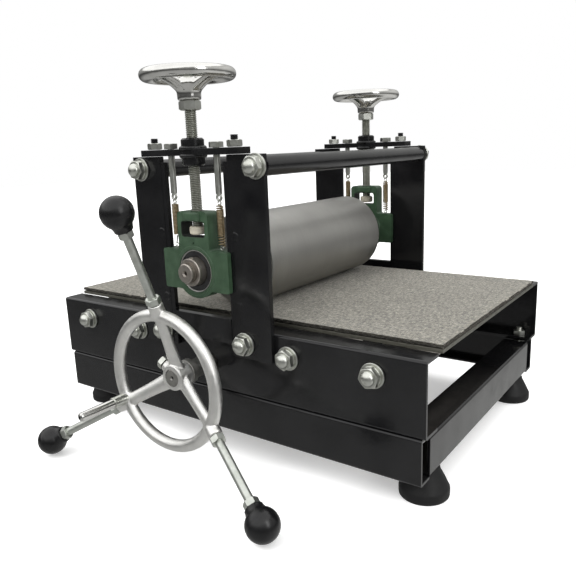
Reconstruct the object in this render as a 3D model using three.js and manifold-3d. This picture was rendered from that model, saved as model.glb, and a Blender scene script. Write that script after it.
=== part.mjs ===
// Tabletop etching press: a felt-covered bed driven between two rollers by a three-handled crank wheel.
// Millimetres, +Z up. X is the way the bed travels and Y runs along the roller axes, with the crank on the
// -Y side.
// The model is drawn about the middle of the press (x = y = 0, feet on z = 0) and then moved along Y,
// so that the origin is at the bottom centre of the whole object's box.
import * as THREE from "three";
import { mergeVertices } from "three/addons/utils/BufferGeometryUtils.js";
import Module from "manifold-3d";

const wasm = await Module();
wasm.setup();

// ---- driving dimensions ----
const GAP = 0.3; // clearance kept between pieces that touch
const FINE = 32; // sides of large round pieces
const ROUND = 16;
const SMALL = 8; // sides of shanks, holes and studs

const SIDE_Y = 175; // outer face of the long channels, from the middle
const WALL = 3; // channel wall
const BASE_LENGTH = 488;
const BASE_Z = 29;
const BASE_HEIGHT = 45.5;
const BASE_FLANGE = 19;
const RAIL_LENGTH = 496;
const RAIL_Z = BASE_Z + BASE_HEIGHT + GAP;
const RAIL_HEIGHT = 72.2;
const RAIL_FLANGE = 25.4;
const END_X = 244; // outer face of the end beams
const END_Z = 30.4;
const END_HEIGHT = 40;
const END_FLANGE = 30;
const CORNER = 3; // outside corner radius of the channels

const FOOT_X = 229.6;
const FOOT_Y = 134.5;
const FOOT_RADIUS = 24;

const UPRIGHT_THICK = 6;
const UPRIGHT_IN = 45.5; // inner edge of the flat bar, where its guide tongue starts
const UPRIGHT_OUT = { left: 86.8, right: 90 }; // outer edges, from the middle
const UPRIGHT_BOTTOM = 118.5;
const UPRIGHT_TOP = 320.5;
const TONGUE_IN = 39.8;
const TONGUE_THICK = 5;
const TONGUE_TOP = 314.5;
const SLOT_BAR_Z = [131, 157]; // flat bar on the channel that closes the foot of the uprights' slot
const FRAME_Y = SIDE_Y + UPRIGHT_THICK / 2; // middle plane of an upright, its housing and its screw
const STUD_X = 54.4;
const STUD_RADIUS = 3.8;
const STUD_TOP = 339;

const BRIDGE_HALF = 65.3; // top plate between the uprights
const BRIDGE_WIDTH = 20;
const BRIDGE_THICK = 6.5;
const BRIDGE_Z = UPRIGHT_TOP + GAP;
const BUSH_RADIUS = 11.5; // threaded bush welded through the top plate
const BUSH_BOTTOM = 310.5;
const BUSH_TOP = 337.5;
const HANGER_X = 31;
const HANGER_RADIUS = 3;
const HANGER_FLATS = 13;

const TIES = { left: [-74.2, 307.4], right: [81.5, 309.3] }; // x and z of each tie bar
const TIE_RADIUS = 9.7;

const BOLT_RADIUS = 6; // M12
const WASHER_RADIUS = 12;
const WASHER_THICK = 2.5;
const NUT_FLATS = 18;
const NUT_HEIGHT = 7.5;
const DOME_RADIUS = 7.2;
const DOME_HEIGHT = 6.1;
const ANCHOR_X = 57; // bolt that holds an upright to its rail
const ANCHOR_Z = 134;
const IDLER_XS = [-197.5, -105.5, 105.5, 197.5];
const IDLER_Z = 125.7;
const IDLER_RADIUS = 19.6;
const IDLER_HALF = 146;

const BED_HALF_X = 250;
const BED_HALF_Y = 145;
const PLATE_Z = 145.6;
const PLATE_THICK = 3.7;
const FELT_Z = PLATE_Z + PLATE_THICK + GAP;
const FELT_THICK = 4.4;
const FELT_OVER = 0.5; // felt beyond the plate's edge

const LOWER_Z = 103.1; // lower roller and crank axis
const LOWER_RADIUS = PLATE_Z - GAP - LOWER_Z;
const LOWER_HALF = 145;
const SHAFT_RADIUS = 10;
const SHELL = 8; // wall of both rollers

const UPPER_Z = 204.8;
const UPPER_RADIUS = UPPER_Z - (FELT_Z + FELT_THICK) - GAP;
const UPPER_HALF = 120.5;
const UPPER_SHAFT_END = 202;

const HOUSING_THICK = 17;
const LUG_HALF_X = 44.5;
const LUG_UP = 21.5; // lug edges above and below the bore
const LUG_DOWN = 20;
const HEAD_HALF_X = 21;
const HEAD_UP = 61;
const BELLY_RADIUS = 28.5;
const GROOVE_WIDTH = 6.2;
const GROOVE_X = 38.2;
const WINDOW_HALF_X = 16;
const WINDOW_UP = [35, 51];
const SCREW_HOLE = 6.8; // clearance hole for the screw through the housing's head
const BEARING_RADIUS = 22;
const BEARING_WIDTH = 16;

const SCREW_RADIUS = 6;
const SCREW_TIP = 240.1;
const SCREW_END = 404;
const JAM_Z = 364;
const HUB_Z = 373.4; // underside of the handwheel hub
const RIM_Z = 398;
const RIM_RADIUS = 41.2;
const RIM_TUBE = 6;
const FAR_WHEEL_DROP = 5; // how much lower the far handwheel sits than the near one

const SPRING_Z = [241, 272.5]; // coils
const SPRING_HOOKS = [226.9, 275.2];
const SPRING_RADIUS = 3.75;
const EYE_Z = 279.6;

const RING_Y = -240; // crank wheel ring
const RING_RADIUS = 67.5;
const RING_TUBE = 6.2;
const HUB_Y = [-231, -212.3];
const HUB_RADIUS = 12.8;
const CRANK_BORE = 9;
const HANDLE_ANGLES = [90, 210, 330];
const HANDLE_LEAN = 20.5; // degrees that the handles lean away from the press
const HANDLE_NUTS = [14, 86]; // lock nuts, along the handle from the middle of the ring's tube
const ROD_RADIUS = 4;
const ROD_END = 103;
const KNOB_AT = 110.5;
const KNOB_RADIUS = 15.5;
const NECK_AT = 92.9;
const NECK_RADIUS = 8.8;
const CLAMP_ANGLE = 150; // boss of the hub's clamping bolt
const PEG_ANGLE = 206.5;
const PEG_RADIUS = 4.75;
const PEG_Y = [-300, -250];
const PIN_RADIUS = 2.5;

const HALF_SPAN_FAR = FRAME_Y + RIM_RADIUS + RIM_TUBE; // furthest point on the +Y side
const ORIGIN_Y = (-PEG_Y[0] - HALF_SPAN_FAR) / 2;

// ---- materials ----
const paint = new THREE.MeshStandardMaterial({ color: 0x141416, roughness: 0.22, metalness: 0.1 });
const zinc = new THREE.MeshStandardMaterial({ color: 0xb9bdb4, roughness: 0.3, metalness: 1 });
const polished = new THREE.MeshStandardMaterial({ color: 0xc9c8c4, roughness: 0.2, metalness: 1 });
const chrome = new THREE.MeshStandardMaterial({ color: 0xdcdcd8, roughness: 0.08, metalness: 1 });
const groundSteel = new THREE.MeshStandardMaterial({ color: 0x8f8b86, roughness: 0.38, metalness: 1 });
const bareSteel = new THREE.MeshStandardMaterial({ color: 0x8a857c, roughness: 0.35, metalness: 1 });
const greenCasting = new THREE.MeshStandardMaterial({ color: 0x3a5a42, roughness: 0.5, metalness: 0 });
const seal = new THREE.MeshStandardMaterial({ color: 0x23232a, roughness: 0.45, metalness: 0.2 });
const rubber = new THREE.MeshStandardMaterial({ color: 0x1b1b1c, roughness: 0.7, metalness: 0 });
const phenolic = new THREE.MeshStandardMaterial({ color: 0x111112, roughness: 0.25, metalness: 0 });
const feltWool = new THREE.MeshStandardMaterial({ color: 0xa8a296, roughness: 1, metalness: 0 });
const bedBoard = new THREE.MeshStandardMaterial({ color: 0x8c8a80, roughness: 0.6, metalness: 0 });
const springWire = new THREE.MeshStandardMaterial({ color: 0x9a7f55, roughness: 0.35, metalness: 1 });

// ---- solids ----
function solid(geometry) {
  const bare = geometry.clone();
  bare.deleteAttribute("normal");
  bare.deleteAttribute("uv");
  const merged = mergeVertices(bare, 1e-4);
  return new wasm.Manifold(
    new wasm.Mesh({
      numProp: 3,
      vertProperties: new Float32Array(merged.attributes.position.array),
      triVerts: new Uint32Array(merged.index.array),
    }),
  );
}

function join(...parts) {
  return parts.reduce((all, part) => all.add(part));
}

function cut(body, ...tools) {
  return tools.reduce((left, tool) => left.subtract(tool), body);
}

function geometryOf(body) {
  const mesh = body.getMesh();
  const stride = mesh.numProp;
  const positions = new Float32Array(mesh.numVert * 3);
  for (let i = 0; i < mesh.numVert; i++) {
    positions.set(mesh.vertProperties.subarray(i * stride, i * stride + 3), i * 3);
  }
  const geometry = new THREE.BufferGeometry();
  geometry.setAttribute("position", new THREE.BufferAttribute(positions, 3));
  geometry.setIndex(new THREE.BufferAttribute(new Uint32Array(mesh.triVerts), 1));
  geometry.computeVertexNormals();
  return geometry;
}

// A box from its two corners.
function block(low, high) {
  const size = high.map((h, i) => h - low[i]);
  const geometry = new THREE.BoxGeometry(...size);
  geometry.translate(...low.map((l, i) => l + size[i] / 2));
  return solid(geometry);
}

// Turns geometry drawn along +Y so that its axis runs along the given direction from a point.
function aim(geometry, direction, from) {
  const turn = new THREE.Quaternion().setFromUnitVectors(
    new THREE.Vector3(0, 1, 0),
    direction.clone().normalize(),
  );
  geometry.applyQuaternion(turn);
  geometry.translate(from.x, from.y, from.z);
  return geometry;
}

const ALONG_X = new THREE.Vector3(1, 0, 0);
const ALONG_Y = new THREE.Vector3(0, 1, 0);
const ALONG_Z = new THREE.Vector3(0, 0, 1);

// A cylinder (or a hexagonal bar, with 6 sides) from one distance to another along a direction.
function rod(radius, from, to, direction = ALONG_Y, origin = new THREE.Vector3(), sides = ROUND) {
  const geometry = new THREE.CylinderGeometry(radius, radius, to - from, sides);
  geometry.translate(0, (from + to) / 2, 0);
  return solid(aim(geometry, direction, origin));
}

function hex(flats, from, to, direction = ALONG_Y, origin = new THREE.Vector3()) {
  return rod(flats / Math.sqrt(3), from, to, direction, origin, 6);
}

// A turned piece: points are [radius, distance along the axis].
function turned(points, direction = ALONG_Y, origin = new THREE.Vector3(), sides = ROUND) {
  const profile = points.map(([radius, along]) => new THREE.Vector2(radius, along));
  return solid(aim(new THREE.LatheGeometry(profile, sides), direction, origin));
}

// Extrudes a shape drawn in two chosen directions, from one distance to another along their cross product.
function extruded(shape, across, up, from, to) {
  const geometry = new THREE.ExtrudeGeometry(shape, {
    depth: to - from,
    bevelEnabled: false,
    curveSegments: 4,
  });
  geometry.translate(0, 0, from);
  const along = new THREE.Vector3().crossVectors(across, up);
  geometry.applyMatrix4(new THREE.Matrix4().makeBasis(across, up, along));
  return solid(geometry);
}

function polygon(points) {
  return new THREE.Shape(points.map(([u, v]) => new THREE.Vector2(u, v)));
}

// Cylinder along Y at a place in the XZ plane.
function barY(radius, x, z, from, to, sides = ROUND) {
  return rod(radius, from, to, ALONG_Y, new THREE.Vector3(x, 0, z), sides);
}

// Cylinder along Z at a place in the XY plane.
function barZ(radius, x, y, from, to, sides = ROUND) {
  return rod(radius, from, to, ALONG_Z, new THREE.Vector3(x, y, 0), sides);
}

// ---- frame ----
// Channel section: the web stands at u = 0, the flanges point to +u, and the outside corners are round.
function channelShape(height, flange) {
  const shape = new THREE.Shape();
  shape.moveTo(CORNER, 0);
  shape.lineTo(flange, 0);
  shape.lineTo(flange, WALL);
  shape.lineTo(WALL, WALL);
  shape.lineTo(WALL, height - WALL);
  shape.lineTo(flange, height - WALL);
  shape.lineTo(flange, height);
  shape.lineTo(CORNER, height);
  shape.absarc(CORNER, height - CORNER, CORNER, Math.PI / 2, Math.PI, false);
  shape.lineTo(0, CORNER);
  shape.absarc(CORNER, CORNER, CORNER, Math.PI, Math.PI * 1.5, false);
  return shape;
}

function sideChannel(length, height, flange, z) {
  const body = extruded(channelShape(height, flange), ALONG_Y, ALONG_Z, -length / 2, length / 2);
  return body.translate([0, -SIDE_Y, z]);
}

function railSolid() {
  const places = IDLER_XS.map((x) => [x, IDLER_Z]);
  places.push([-ANCHOR_X, ANCHOR_Z], [ANCHOR_X, ANCHOR_Z]);
  const holes = places.map(([x, z]) => barY(BOLT_RADIUS + 0.6, x, z, -SIDE_Y - 1, -SIDE_Y + 5, SMALL));
  const shaftHole = barY(SHAFT_RADIUS + 2, 0, LOWER_Z, -SIDE_Y - 1, -SIDE_Y + 5);
  const channel = sideChannel(RAIL_LENGTH, RAIL_HEIGHT, RAIL_FLANGE, RAIL_Z);
  const half = TONGUE_IN - GAP;
  const slotBar = block([-half, -SIDE_Y - UPRIGHT_THICK, SLOT_BAR_Z[0]], [half, -SIDE_Y + 1, SLOT_BAR_Z[1]]);
  return cut(join(channel, slotBar), ...holes, shaftHole);
}

function baseSideSolid() {
  return sideChannel(BASE_LENGTH, BASE_HEIGHT, BASE_FLANGE, BASE_Z);
}

function endBeamSolid() {
  const half = SIDE_Y - BASE_FLANGE - GAP;
  const inward = ALONG_X.clone().negate();
  const beam = extruded(channelShape(END_HEIGHT, END_FLANGE), inward, ALONG_Z, -half, half);
  return beam.translate([END_X, 0, END_Z]);
}

function footSolid() {
  const top = END_Z - GAP;
  const profile = [
    [0, 0],
    [FOOT_RADIUS - 1.5, 0],
    [FOOT_RADIUS, 1.5],
    [FOOT_RADIUS, 9],
    [FOOT_RADIUS - 4, 17],
    [FOOT_RADIUS - 8, top - 2],
    [FOOT_RADIUS - 10, top],
    [0, top],
  ];
  return turned(profile, ALONG_Z);
}

// ---- uprights and their top plates, drawn for the near right corner ----
function uprightSolid(end) {
  const [tieX, tieZ] = TIES[end];
  const outer = -SIDE_Y - UPRIGHT_THICK;
  const step = (UPRIGHT_THICK - TONGUE_THICK) / 2;
  const inner = -SIDE_Y - GAP;
  const bar = block([UPRIGHT_IN, outer, UPRIGHT_BOTTOM], [UPRIGHT_OUT[end], inner, UPRIGHT_TOP]);
  const tongue = block(
    [TONGUE_IN, outer + step, UPRIGHT_BOTTOM],
    [UPRIGHT_IN + 1, -SIDE_Y - step, TONGUE_TOP],
  );
  const stud = barZ(STUD_RADIUS, STUD_X, -FRAME_Y, UPRIGHT_TOP - 4, STUD_TOP, SMALL);
  const holes = [
    barY(BOLT_RADIUS + 0.6, ANCHOR_X, ANCHOR_Z, outer - 1, -SIDE_Y + 1, SMALL),
    barY(BOLT_RADIUS + 0.6, Math.abs(tieX), tieZ, outer - 1, -SIDE_Y + 1, SMALL),
  ];
  return cut(join(bar, tongue, stud), ...holes);
}

function bridgeSolid() {
  const plate = block(
    [-BRIDGE_HALF, -FRAME_Y - BRIDGE_WIDTH / 2, BRIDGE_Z],
    [BRIDGE_HALF, -FRAME_Y + BRIDGE_WIDTH / 2, BRIDGE_Z + BRIDGE_THICK],
  );
  const bushProfile = [
    [0, BUSH_BOTTOM],
    [BUSH_RADIUS - 2, BUSH_BOTTOM],
    [BUSH_RADIUS, BUSH_BOTTOM + 2],
    [BUSH_RADIUS, BUSH_TOP - 2],
    [BUSH_RADIUS - 2, BUSH_TOP],
    [0, BUSH_TOP],
  ];
  const bush = turned(bushProfile, ALONG_Z, new THREE.Vector3(0, -FRAME_Y, 0));
  const bore = barZ(SCREW_RADIUS + 0.4, 0, -FRAME_Y, BUSH_BOTTOM - 1, BUSH_TOP + 1);
  const top = BRIDGE_Z + BRIDGE_THICK + 1;
  const hole = (x, radius) => barZ(radius, x, -FRAME_Y, BRIDGE_Z - 1, top, SMALL);
  const studHoles = [-STUD_X, STUD_X].map((x) => hole(x, STUD_RADIUS + 0.6));
  const hangerHoles = [-HANGER_X, HANGER_X].map((x) => hole(x, HANGER_RADIUS + 0.7));
  return cut(join(plate, bush), bore, ...studHoles, ...hangerHoles);
}

// ---- fasteners: washer and domed nut that start at a face and point to -Y ----
function domeNut(x, z, faceY) {
  const washerEnd = faceY - GAP - WASHER_THICK;
  const nutEnd = washerEnd - NUT_HEIGHT;
  const washer = barY(WASHER_RADIUS, x, z, washerEnd, faceY - GAP);
  const nut = hex(NUT_FLATS, nutEnd, washerEnd + 0.1, ALONG_Y, new THREE.Vector3(x, 0, z));
  const profile = [
    [0, -0.5],
    [DOME_RADIUS, -0.5],
  ];
  const steps = 3;
  for (let i = 0; i < steps; i++) {
    const angle = (i / steps) * (Math.PI / 2);
    profile.push([DOME_RADIUS * Math.cos(angle), DOME_HEIGHT * Math.sin(angle)]);
  }
  profile.push([0, DOME_HEIGHT]);
  const dome = turned(profile, ALONG_Y.clone().negate(), new THREE.Vector3(x, nutEnd, z), SMALL);
  return join(washer, nut, dome);
}

function flip(body) {
  return body.mirror([0, 1, 0]);
}

// Axle that crosses the press through both rails, with a domed nut on each end.
function idlerAxleSolid(x) {
  const nut = domeNut(x, IDLER_Z, -SIDE_Y);
  const end = SIDE_Y + GAP + WASHER_THICK;
  return join(barY(BOLT_RADIUS, x, IDLER_Z, -end, end, SMALL), nut, flip(nut));
}

function tieBarSolid(end) {
  const [x, z] = TIES[end];
  const face = SIDE_Y + UPRIGHT_THICK;
  const nut = domeNut(x, z, -face);
  const spigot = barY(BOLT_RADIUS, x, z, -face - GAP - 1, face + GAP + 1, SMALL);
  return join(barY(TIE_RADIUS, x, z, -SIDE_Y + GAP, SIDE_Y - GAP), spigot, nut, flip(nut));
}

function anchorBoltSolid() {
  const face = -SIDE_Y - UPRIGHT_THICK;
  const inside = -SIDE_Y + WALL + GAP;
  const head = hex(NUT_FLATS - 1, inside, inside + 7.5, ALONG_Y, new THREE.Vector3(ANCHOR_X, 0, ANCHOR_Z));
  const shank = barY(BOLT_RADIUS, ANCHOR_X, ANCHOR_Z, face - 1, inside + 1, SMALL);
  return join(head, shank, domeNut(ANCHOR_X, ANCHOR_Z, face));
}

// Bolt hung from the top plate, with a flattened, drilled end that takes a spring.
function hangerSolid() {
  const seat = BRIDGE_Z + BRIDGE_THICK + GAP;
  const at = new THREE.Vector3(HANGER_X, -FRAME_Y, 0);
  const head = hex(HANGER_FLATS, seat, seat + 5.5, ALONG_Z, at);
  const shank = rod(HANGER_RADIUS, EYE_Z, seat + 1, ALONG_Z, at, SMALL);
  const eye = barY(4, HANGER_X, EYE_Z, -FRAME_Y - 1.6, -FRAME_Y + 1.6, SMALL);
  const hole = barY(1.7, HANGER_X, EYE_Z, -FRAME_Y - 5, -FRAME_Y + 5, SMALL);
  return cut(join(head, shank, eye), hole);
}

function springSolid() {
  const at = new THREE.Vector3(HANGER_X, -FRAME_Y, 0);
  const coils = rod(SPRING_RADIUS, SPRING_Z[0], SPRING_Z[1], ALONG_Z, at, SMALL);
  return join(coils, rod(1, SPRING_HOOKS[0], SPRING_HOOKS[1], ALONG_Z, at, SMALL));
}

// ---- rollers, bearings and bed ----
// A hollow drum on a through shaft: vent holes in its end plates open the inside.
function drum(radius, half, z) {
  const bore = barY(radius - SHELL, 0, z, -half + 8, half - 8);
  const vents = barY(4, radius - SHELL - 8, z, -half - 1, half + 1, SMALL);
  return cut(barY(radius, 0, z, -half, half, FINE), bore, vents);
}

function upperRollerSolid() {
  const chamfer = 1.2;
  const shaftProfile = [
    [0, -UPPER_SHAFT_END],
    [SHAFT_RADIUS - chamfer, -UPPER_SHAFT_END],
    [SHAFT_RADIUS, -UPPER_SHAFT_END + chamfer],
    [SHAFT_RADIUS, UPPER_SHAFT_END - chamfer],
    [SHAFT_RADIUS - chamfer, UPPER_SHAFT_END],
    [0, UPPER_SHAFT_END],
  ];
  const shaft = turned(shaftProfile, ALONG_Y, new THREE.Vector3(0, 0, UPPER_Z));
  return join(drum(UPPER_RADIUS, UPPER_HALF, UPPER_Z), shaft);
}

function lowerRollerSolid() {
  const shaft = barY(SHAFT_RADIUS, 0, LOWER_Z, HUB_Y[1] + GAP, SIDE_Y - WALL - GAP);
  const collar = barY(13, 0, LOWER_Z, HUB_Y[1] + GAP, -204);
  const nose = barY(CRANK_BORE, 0, LOWER_Z, HUB_Y[0] + GAP, -205, SMALL);
  return join(drum(LOWER_RADIUS, LOWER_HALF, LOWER_Z), shaft, collar, nose);
}

function lowerBearingSolid() {
  const inner = -SIDE_Y + WALL + GAP;
  const body = barY(24.4, 0, LOWER_Z, inner, inner + 16);
  return cut(body, barY(SHAFT_RADIUS + 0.4, 0, LOWER_Z, inner - 1, inner + 17));
}

function idlerSolid(x) {
  const tube = barY(IDLER_RADIUS, x, IDLER_Z, -IDLER_HALF, IDLER_HALF);
  return cut(tube, barY(BOLT_RADIUS + 0.6, x, IDLER_Z, -IDLER_HALF - 1, IDLER_HALF + 1, SMALL));
}

// ---- take-up housing, drawn on the near side ----
function housingOutline() {
  const shape = new THREE.Shape();
  const edge = 2;
  const bottom = UPPER_Z - LUG_DOWN;
  const top = UPPER_Z + LUG_UP;
  const meet = Math.asin(LUG_DOWN / BELLY_RADIUS);
  shape.moveTo(LUG_HALF_X - edge, bottom);
  shape.absarc(LUG_HALF_X - edge, bottom + edge, edge, -Math.PI / 2, 0, false);
  shape.absarc(LUG_HALF_X - edge, top - edge, edge, 0, Math.PI / 2, false);
  shape.lineTo(HEAD_HALF_X, top);
  shape.absarc(HEAD_HALF_X - 4, UPPER_Z + HEAD_UP - 4, 4, 0, Math.PI / 2, false);
  shape.absarc(4 - HEAD_HALF_X, UPPER_Z + HEAD_UP - 4, 4, Math.PI / 2, Math.PI, false);
  shape.lineTo(-HEAD_HALF_X, top);
  shape.absarc(edge - LUG_HALF_X, top - edge, edge, Math.PI / 2, Math.PI, false);
  shape.absarc(edge - LUG_HALF_X, bottom + edge, edge, Math.PI, Math.PI * 1.5, false);
  shape.absarc(0, UPPER_Z, BELLY_RADIUS, Math.PI + meet, Math.PI * 2 - meet, false);
  return shape;
}

function windowOutline() {
  const [low, high] = WINDOW_UP.map((up) => UPPER_Z + up);
  const r = 3;
  const w = WINDOW_HALF_X;
  const shape = new THREE.Shape();
  shape.moveTo(w - r, low);
  shape.absarc(w - r, low + r, r, -Math.PI / 2, 0, false);
  shape.absarc(w - r, high - r, r, 0, Math.PI / 2, false);
  shape.absarc(r - w, high - r, r, Math.PI / 2, Math.PI, false);
  shape.absarc(r - w, low + r, r, Math.PI, Math.PI * 1.5, false);
  return shape;
}

function housingSolid() {
  const half = HOUSING_THICK / 2;
  const body = extruded(housingOutline(), ALONG_X, ALONG_Z, FRAME_Y - half, FRAME_Y + half);
  const window = extruded(windowOutline(), ALONG_X, ALONG_Z, FRAME_Y - 20, FRAME_Y + 20);
  const bore = barY(BEARING_RADIUS + GAP + 0.2, 0, UPPER_Z, -FRAME_Y - 20, -FRAME_Y + 20, FINE);
  const screwHole = barZ(SCREW_HOLE, 0, -FRAME_Y, UPPER_Z + WINDOW_UP[1] - 2, UPPER_Z + HEAD_UP + 2, SMALL);
  const grooves = [-1, 1].map((side) =>
    block(
      [Math.min(side * GROOVE_X, side * 60), -FRAME_Y - GROOVE_WIDTH / 2, UPPER_Z - 60],
      [Math.max(side * GROOVE_X, side * 60), -FRAME_Y + GROOVE_WIDTH / 2, UPPER_Z + 40],
    ),
  );
  return cut(body, window, bore, screwHole, ...grooves);
}

function bearingSolid() {
  const half = BEARING_WIDTH / 2;
  const ring = barY(BEARING_RADIUS, 0, UPPER_Z, -FRAME_Y - half, -FRAME_Y + half, FINE);
  return cut(ring, barY(SHAFT_RADIUS + 0.4, 0, UPPER_Z, -FRAME_Y - 20, -FRAME_Y + 20));
}

// ---- pressure screw and handwheel, drawn on their own axis ----
function screwSolid(drop) {
  const end = SCREW_END - drop;
  const tip = [
    [0, SCREW_TIP],
    [4, SCREW_TIP],
    [SCREW_RADIUS, SCREW_TIP + 2],
    [SCREW_RADIUS, end - 3],
    [4, end - 0.8],
    [0, end],
  ];
  const shank = turned(tip, ALONG_Z);
  const endNut = hex(18, SCREW_TIP + 2.5, SCREW_TIP + 11.5, ALONG_Z);
  const jamNut = hex(19, JAM_Z - drop, HUB_Z - drop - GAP, ALONG_Z);
  return join(shank, endNut, jamNut);
}

function handwheelSolid() {
  const hub = turned(
    [
      [0, HUB_Z],
      [11.6, HUB_Z],
      [12, HUB_Z + 10],
      [13.5, HUB_Z + 13],
      [10.5, HUB_Z + 22],
      [0, HUB_Z + 22],
    ],
    ALONG_Z,
  );
  const rim = new THREE.TorusGeometry(RIM_RADIUS, RIM_TUBE, 6, 30);
  rim.translate(0, 0, RIM_Z);
  const spokeShape = polygon([
    [8, HUB_Z + 8],
    [38, RIM_Z - 5],
    [38, RIM_Z + 2],
    [8, HUB_Z + 20],
  ]);
  const spokes = [0, 120, 240].map((angle) => {
    const spoke = extruded(spokeShape, ALONG_X, ALONG_Z, -6, 6);
    return spoke.rotate([0, 0, angle + 12]);
  });
  const bore = rod(SCREW_RADIUS + 0.5, HUB_Z - 1, SCREW_END + 5, ALONG_Z);
  return cut(join(hub, solid(rim), ...spokes), bore);
}

// ---- crank ----
function radial(angleDegrees) {
  const angle = THREE.MathUtils.degToRad(angleDegrees);
  return new THREE.Vector3(Math.cos(angle), 0, Math.sin(angle));
}

function ringPoint(angleDegrees) {
  return radial(angleDegrees).multiplyScalar(RING_RADIUS).add(new THREE.Vector3(0, RING_Y, LOWER_Z));
}

// The way a handle points: outwards in the wheel's plane, leaning to -Y.
function handleDirection(angleDegrees) {
  const lean = THREE.MathUtils.degToRad(HANDLE_LEAN);
  const out = radial(angleDegrees).multiplyScalar(Math.cos(lean));
  return out.add(new THREE.Vector3(0, -Math.sin(lean), 0));
}

function crankWheelSolid() {
  const ring = new THREE.TorusGeometry(RING_RADIUS, RING_TUBE, 8, 36);
  ring.rotateX(Math.PI / 2);
  ring.translate(0, RING_Y, LOWER_Z);
  const axis = new THREE.Vector3(0, 0, LOWER_Z);
  const hub = rod(HUB_RADIUS, HUB_Y[0], HUB_Y[1], ALONG_Y, axis);
  // A spoke's profile: radius against distance in front of the press.
  const spokeShape = polygon([
    [11, 217],
    [RING_RADIUS, -RING_Y - 4],
    [RING_RADIUS, -RING_Y + 4],
    [11, 229.5],
  ]);
  const forward = ALONG_Y.clone().negate();
  const spokes = HANDLE_ANGLES.map((angle) =>
    extruded(spokeShape, radial(angle), forward, -6, 6).translate([0, 0, LOWER_Z]),
  );
  const bosses = HANDLE_ANGLES.map((angle) =>
    rod(7.5, 2, HANDLE_NUTS[0] - GAP, handleDirection(angle), ringPoint(angle), SMALL),
  );
  const clampAt = new THREE.Vector3(0, -222, LOWER_Z);
  const clampBoss = rod(7, 9.5, 19.5, radial(CLAMP_ANGLE), clampAt, SMALL);
  const pegPin = rod(PIN_RADIUS, PEG_Y[0] + 12, RING_Y, ALONG_Y, ringPoint(PEG_ANGLE).setY(0), SMALL);
  const bore = rod(CRANK_BORE + 0.4, HUB_Y[0] - 2, HUB_Y[1] + 2, ALONG_Y, axis, SMALL);
  return cut(join(solid(ring), hub, ...spokes, ...bosses, clampBoss, pegPin), bore);
}

function handleRodSolid(angle) {
  const way = handleDirection(angle);
  const at = ringPoint(angle);
  const [low, high] = HANDLE_NUTS;
  return join(
    rod(ROD_RADIUS, low, ROD_END, way, at, SMALL),
    hex(13, low, low + 6.8, way, at),
    hex(13, high, high + 6.5, way, at),
  );
}

function knobSolid(angle) {
  const profile = [
    [0, NECK_AT],
    [NECK_RADIUS, NECK_AT],
  ];
  const first = Math.asin((NECK_RADIUS + 0.4) / KNOB_RADIUS);
  const steps = 6;
  for (let i = 0; i <= steps; i++) {
    const around = first + ((Math.PI - first) * i) / steps;
    const radius = i < steps ? KNOB_RADIUS * Math.sin(around) : 0;
    profile.push([radius, KNOB_AT - KNOB_RADIUS * Math.cos(around)]);
  }
  const way = handleDirection(angle);
  const at = ringPoint(angle);
  return cut(turned(profile, way, at), rod(ROD_RADIUS + 0.5, NECK_AT - 1, ROD_END + GAP, way, at, SMALL));
}

function pegSolid() {
  const at = ringPoint(PEG_ANGLE).setY(0);
  const grip = rod(PEG_RADIUS, PEG_Y[0], PEG_Y[1], ALONG_Y, at);
  return cut(grip, rod(PIN_RADIUS + 0.5, PEG_Y[0] + 11, PEG_Y[1] + 1, ALONG_Y, at, SMALL));
}

// ---- assembly ----
const press = new THREE.Group();
press.position.y = ORIGIN_Y;

function place(name, body, material, mirror = [1, 1]) {
  const mesh = new THREE.Mesh(geometryOf(body), material);
  mesh.name = name;
  mesh.scale.set(mirror[0], mirror[1], 1);
  press.add(mesh);
  return mesh;
}

const SIDES = [
  ["near", 1],
  ["far", -1],
];
const ENDS = [
  ["left", -1],
  ["right", 1],
];

for (const [side, sy] of SIDES) {
  const drop = side === "far" ? FAR_WHEEL_DROP : 0;
  place("rail_" + side, railSolid(), paint, [1, sy]);
  place("base_side_" + side, baseSideSolid(), paint, [1, sy]);
  place("top_plate_" + side, bridgeSolid(), paint, [1, sy]);
  place("lower_bearing_" + side, lowerBearingSolid(), bareSteel, [1, sy]);
  place("takeup_housing_" + side, housingSolid(), greenCasting, [1, sy]);
  place("bearing_" + side, bearingSolid(), seal, [1, sy]);
  const screw = place("pressure_screw_" + side, screwSolid(drop), zinc);
  screw.position.y = -FRAME_Y * sy;
  const wheel = place("handwheel_" + side, handwheelSolid(), chrome);
  wheel.position.set(0, -FRAME_Y * sy, -drop);
  for (const [end, sx] of ENDS) {
    place(`upright_${side}_${end}`, uprightSolid(end), paint, [sx, sy]);
    place(`upright_bolt_${side}_${end}`, anchorBoltSolid(), zinc, [sx, sy]);
    place(`spring_hanger_${side}_${end}`, hangerSolid(), zinc, [sx, sy]);
    place(`return_spring_${side}_${end}`, springSolid(), springWire, [sx, sy]);
    const foot = place(`foot_${side}_${end}`, footSolid(), rubber);
    foot.position.set(sx * FOOT_X, -sy * FOOT_Y, 0);
  }
}

for (const [end, sx] of ENDS) {
  place("base_end_" + end, endBeamSolid(), paint, [sx, 1]);
  place("tie_bar_" + end, tieBarSolid(end), paint);
}

IDLER_XS.forEach((x, i) => {
  place("support_axle_" + (i + 1), idlerAxleSolid(x), zinc);
  place("support_roller_" + (i + 1), idlerSolid(x), bareSteel);
});

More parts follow.
